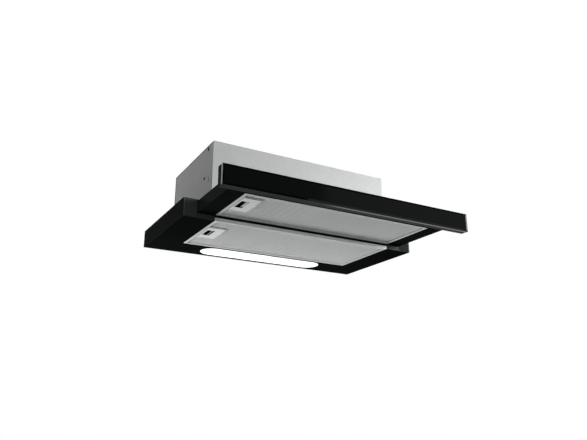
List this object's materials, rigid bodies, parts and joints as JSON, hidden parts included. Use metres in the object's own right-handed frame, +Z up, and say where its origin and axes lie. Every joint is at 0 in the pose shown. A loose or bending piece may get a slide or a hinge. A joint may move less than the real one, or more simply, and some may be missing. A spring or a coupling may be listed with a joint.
{
  "type": "telescopic range hood",
  "caption": "Slim under-cabinet cooker hood with a pull-out filter drawer behind a black glass fascia, tilting grease filters, lamp, blower and duct collar.",
  "frame": {"origin": "middle of the strip of the canopy's top face, in front of the motor housing, that seats against the underside of the wall cabinet", "axes": "+X to the right of someone facing the hood, +Y towards the wall, +Z up; the drawer is drawn fully out towards -Y"},
  "size_m": [0.6, 0.4855, 0.2188],
  "materials": {
    "black_paint": "satin",
    "black_plastic": "matte",
    "galvanised_steel": "satin",
    "filter_aluminium": "satin",
    "filter_mesh": "matte",
    "latch_grey": "matte",
    "impeller_plastic": "matte",
    "bright_steel": "satin",
    "motor_steel": "satin",
    "black_glass": "gloss",
    "lamp_diffuser": "satin",
    "white_plastic": "matte",
    "led_white": "matte"
  },
  "bodies": {
    "canopy": {"canopy_shell": "black_paint", "canopy_base": "black_paint", "end_cap_right": "black_plastic", "end_cap_left": "black_plastic", "housing_wrap": "galvanised_steel", "housing_rear_panel": "galvanised_steel", "housing_top_plate": "galvanised_steel", "duct_collar": "black_plastic", "scroll_half_right": "black_plastic", "scroll_half_left": "black_plastic", "motor_body": "motor_steel", "motor_bearing_outer": "bright_steel", "motor_bearing_inner": "bright_steel", "motor_bracket": "galvanised_steel", "capacitor": "white_plastic", "capacitor_clip": "galvanised_steel", "terminal_case": "black_plastic", "terminal_lid": "black_plastic", "terminal_strip": "white_plastic", "cable_gland": "black_plastic", "lamp_lens": "lamp_diffuser", "lamp_tray": "white_plastic", "led_board": "led_white", "led_driver": "white_plastic", "rail_hanger_right": "galvanised_steel", "rail_hanger_left": "galvanised_steel", "fixed_rail_right": "bright_steel", "fixed_rail_left": "bright_steel"},
    "drawer": {"drawer_frame": "black_paint", "drawer_cover": "black_paint", "fascia_channel": "black_paint", "fascia_end_left": "black_plastic", "fascia_end_right": "black_plastic", "fascia_glass": "black_glass", "control_case": "black_plastic", "drawer_rail_left": "bright_steel", "drawer_rail_right": "bright_steel"},
    "speed_knob": {"speed_knob": "black_plastic"},
    "light_knob": {"light_knob": "black_plastic"},
    "drawer_filter": {"drawer_filter_frame": "filter_aluminium", "drawer_filter_mesh": "filter_mesh", "drawer_filter_latch_case": "latch_grey"},
    "drawer_filter_latch": {"drawer_filter_latch_slider": "latch_grey"},
    "rear_filter": {"rear_filter_frame": "filter_aluminium", "rear_filter_mesh": "filter_mesh", "rear_filter_latch_case": "latch_grey"},
    "rear_filter_latch": {"rear_filter_latch_slider": "latch_grey"},
    "ball_cage_left": {"ball_cage_left": "bright_steel"},
    "ball_cage_right": {"ball_cage_right": "bright_steel"},
    "flap_rear": {"backdraft_flap_rear": "black_plastic"},
    "flap_front": {"backdraft_flap_front": "black_plastic"},
    "impeller": {"impeller": "impeller_plastic", "motor_shaft": "bright_steel"}
  },
  "joints": [
    {"name": "drawer_slide", "type": "slide", "parent": "canopy", "child": "drawer", "axis": [0, 1, 0], "range_m": [0, 0.183]},
    {"name": "ball_cage_left_slide", "type": "slide", "parent": "canopy", "child": "ball_cage_left", "axis": [0, 1, 0], "range_m": [0, 0.0915]},
    {"name": "ball_cage_right_slide", "type": "slide", "parent": "canopy", "child": "ball_cage_right", "axis": [0, 1, 0], "range_m": [0, 0.0915]},
    {"name": "rear_filter_tilt", "type": "hinge", "parent": "canopy", "child": "rear_filter", "pos_m": [0.2284, 0.0905, -0.041], "axis": [0, -1, 0], "range_deg": [0, 45]},
    {"name": "rear_filter_latch_slide", "type": "slide", "parent": "rear_filter", "child": "rear_filter_latch", "axis": [1, 0, 0], "range_m": [0, 0.003], "stiffness_N_per_m": 300},
    {"name": "drawer_filter_tilt", "type": "hinge", "parent": "drawer", "child": "drawer_filter", "pos_m": [0.2284, -0.08455, -0.029], "axis": [0, -1, 0], "range_deg": [0, 45]},
    {"name": "drawer_filter_latch_slide", "type": "slide", "parent": "drawer_filter", "child": "drawer_filter_latch", "axis": [1, 0, 0], "range_m": [0, 0.003], "stiffness_N_per_m": 300},
    {"name": "speed_knob_slide", "type": "slide", "parent": "drawer", "child": "speed_knob", "axis": [1, 0, 0], "range_m": [0, 0.024]},
    {"name": "light_knob_slide", "type": "slide", "parent": "drawer", "child": "light_knob", "axis": [1, 0, 0], "range_m": [0, 0.008]},
    {"name": "backdraft_flap_rear_hinge", "type": "hinge", "parent": "canopy", "child": "flap_rear", "pos_m": [0, 0.16962, 0.159], "axis": [1, 0, 0], "range_deg": [0, 78]},
    {"name": "backdraft_flap_front_hinge", "type": "hinge", "parent": "canopy", "child": "flap_front", "pos_m": [0, 0.16062, 0.159], "axis": [-1, 0, 0], "range_deg": [0, 78]},
    {"name": "impeller_spin", "type": "hinge", "parent": "canopy", "child": "impeller", "pos_m": [0, 0.1145, 0.075], "axis": [1, 0, 0], "continuous": true}
  ],
  "couplings": [
    {"joint": "ball_cage_left_slide", "follows": "drawer_slide", "ratio": 0.5},
    {"joint": "ball_cage_right_slide", "follows": "drawer_slide", "ratio": 0.5}
  ]
}
